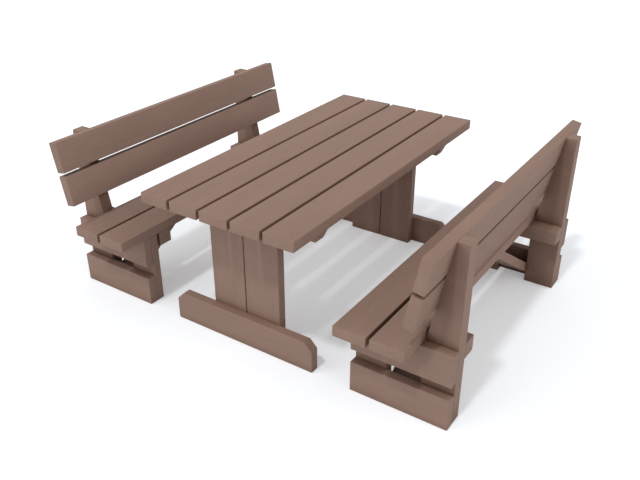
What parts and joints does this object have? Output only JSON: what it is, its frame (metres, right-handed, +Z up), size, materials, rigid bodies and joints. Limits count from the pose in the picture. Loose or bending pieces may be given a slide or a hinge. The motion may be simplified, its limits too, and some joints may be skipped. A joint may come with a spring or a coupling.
{
  "type": "children's picnic table set",
  "caption": "Low plank table on two board end frames, between two separate plank benches with reclined backs on tapered posts.",
  "frame": {"origin": "on the ground under the middle of the table, which is also the bottom centre of the whole set", "axes": "+X along the table's length, +Y towards the left bench, +Z up"},
  "size_m": [1.32, 1.666, 0.6665],
  "materials": {
    "board": "matt through-coloured brown with a faint mottle",
    "steel": "plain zinc-plated"
  },
  "bodies": {
    "table": {"table_plank_1": "board", "table_plank_2": "board", "table_plank_3": "board", "table_plank_4": "board", "table_plank_5": "board", "table_bearer_a": "board", "table_bearer_b": "board", "table_upright_a_left": "board", "table_upright_a_right": "board", "table_upright_b_left": "board", "table_upright_b_right": "board", "table_foot_a": "board", "table_foot_b": "board", "table_top_screws": "steel", "table_bearer_screws": "steel", "table_pins": "steel"},
    "left_bench": {"left_seat_front": "board", "left_seat_rear": "board", "left_back_lower": "board", "left_back_upper": "board", "left_leg_a": "board", "left_leg_b": "board", "left_post_a": "board", "left_post_b": "board", "left_outer_bearer_a": "board", "left_outer_bearer_b": "board", "left_seat_bearer_a": "board", "left_seat_bearer_b": "board", "left_foot_a": "board", "left_foot_b": "board", "left_brace_a": "board", "left_brace_b": "board", "left_seat_screws": "steel", "left_pins": "steel"},
    "right_bench": {"right_seat_front": "board", "right_seat_rear": "board", "right_back_lower": "board", "right_back_upper": "board", "right_leg_a": "board", "right_leg_b": "board", "right_post_a": "board", "right_post_b": "board", "right_outer_bearer_a": "board", "right_outer_bearer_b": "board", "right_seat_bearer_a": "board", "right_seat_bearer_b": "board", "right_foot_a": "board", "right_foot_b": "board", "right_brace_a": "board", "right_brace_b": "board", "right_seat_screws": "steel", "right_pins": "steel"}
  },
  "joints": [
    {"name": "left_bench_slide", "type": "slide", "parent": "table", "child": "left_bench", "axis": [0, 1, 0], "range_m": [-0.154, 0.4]},
    {"name": "right_bench_slide", "type": "slide", "parent": "table", "child": "right_bench", "axis": [0, -1, 0], "range_m": [-0.154, 0.4]}
  ]
}
